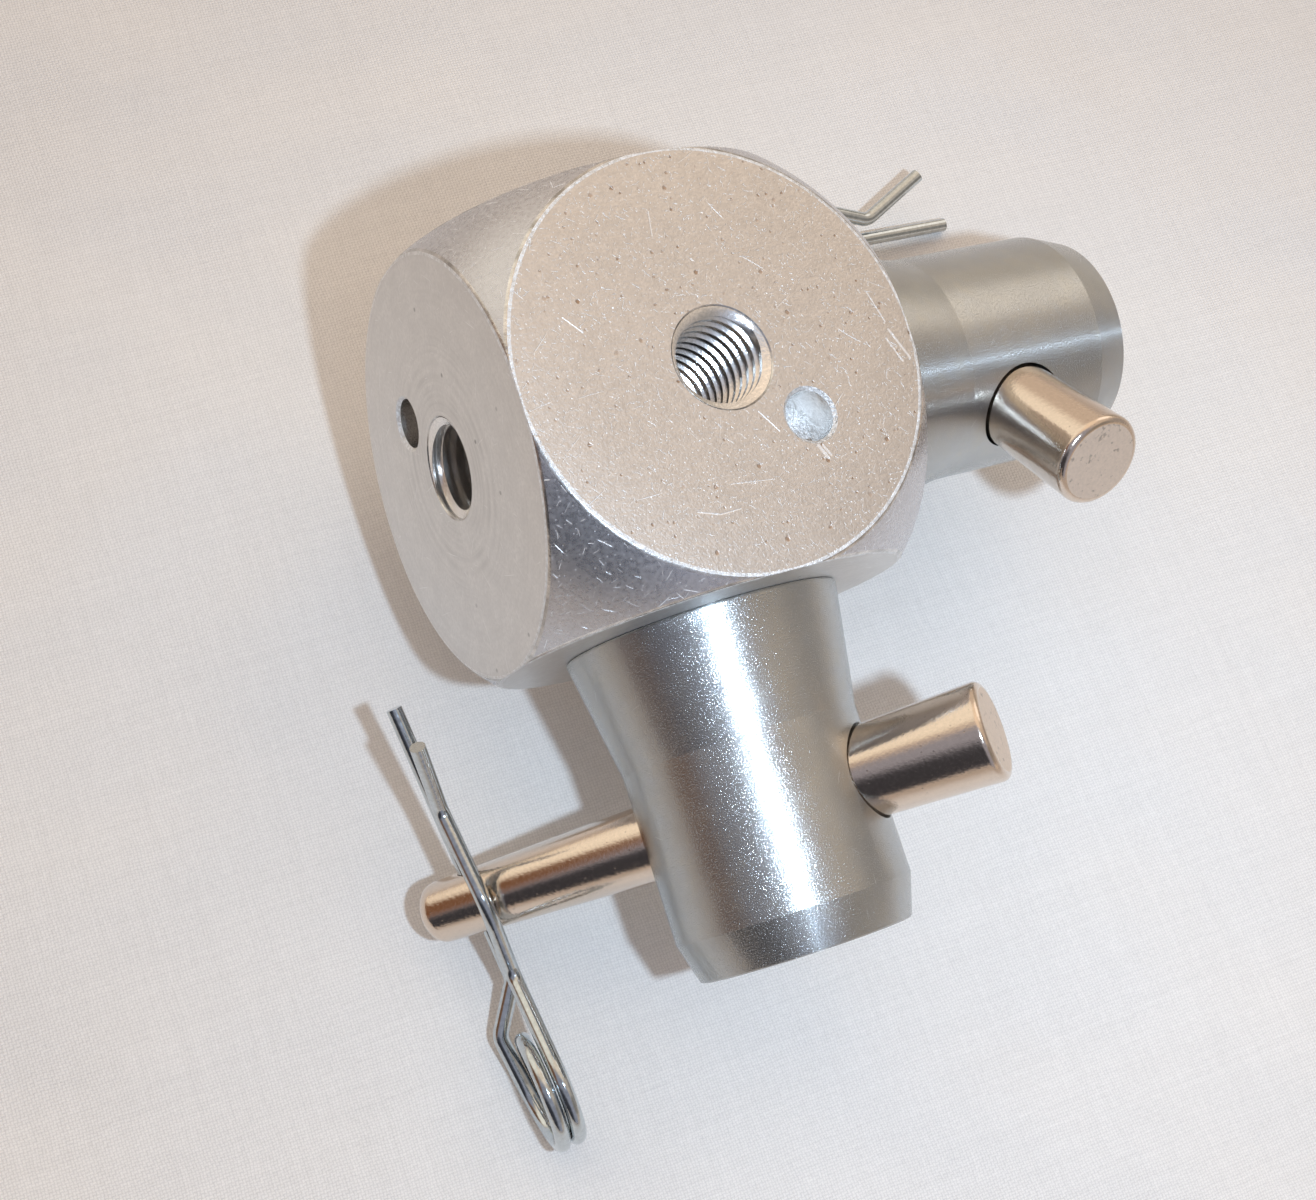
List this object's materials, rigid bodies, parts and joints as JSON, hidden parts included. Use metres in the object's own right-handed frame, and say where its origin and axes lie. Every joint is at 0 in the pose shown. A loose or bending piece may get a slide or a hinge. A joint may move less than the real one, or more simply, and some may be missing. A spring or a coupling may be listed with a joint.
{
  "type": "beam coupling",
  "caption": "Right-angle corner coupling for round truss beams: a threaded cube with turned corners, bolted half-cone spigots, cross taper pins and R-clips.",
  "frame": {"origin": "centre of the corner block, where its three threaded axes cross", "axes": "-Y along the front spigot, +X along the right spigot, +Z out of the free top face of the block"},
  "size_m": [0.1085, 0.1216, 0.0593],
  "materials": {
    "cast_aluminium": "tumbled ball corners, faced flats, worn",
    "turned_steel": "bright zinc on turned steel, satin",
    "black_steel": "black oxide",
    "ground_steel": "ground",
    "nickel_plate": "polished nickel",
    "zinc_wire": "bright zinc"
  },
  "bodies": {
    "coupler_body": {"corner_block": "cast_aluminium", "spigot_front": "turned_steel", "spigot_right": "turned_steel", "stud_front": "black_steel", "stud_right": "black_steel", "dowel_front": "ground_steel", "dowel_right": "ground_steel"},
    "pin_front": {"taper_pin_front": "nickel_plate"},
    "pin_right": {"taper_pin_right": "nickel_plate"},
    "clip_front": {"r_clip_front": "zinc_wire"},
    "clip_right": {"r_clip_right": "zinc_wire"}
  },
  "joints": [
    {"name": "pin_front_slide", "type": "slide", "parent": "coupler_body", "child": "pin_front", "axis": [0.7071, 0, 0.7071], "range_m": [0, 0.0108]},
    {"name": "pin_right_slide", "type": "slide", "parent": "coupler_body", "child": "pin_right", "axis": [0, -0.7071, 0.7071], "range_m": [0, 0.0094]},
    {"name": "clip_front_pull", "type": "slide", "parent": "pin_front", "child": "clip_front", "axis": [0.1866, -0.9646, -0.1866], "range_m": [0, 0.032], "deforming": ["r_clip_front"]},
    {"name": "clip_right_pull", "type": "slide", "parent": "pin_right", "child": "clip_right", "axis": [-1, -0.0062, -0.0062], "range_m": [0, 0.032], "deforming": ["r_clip_right"]}
  ]
}
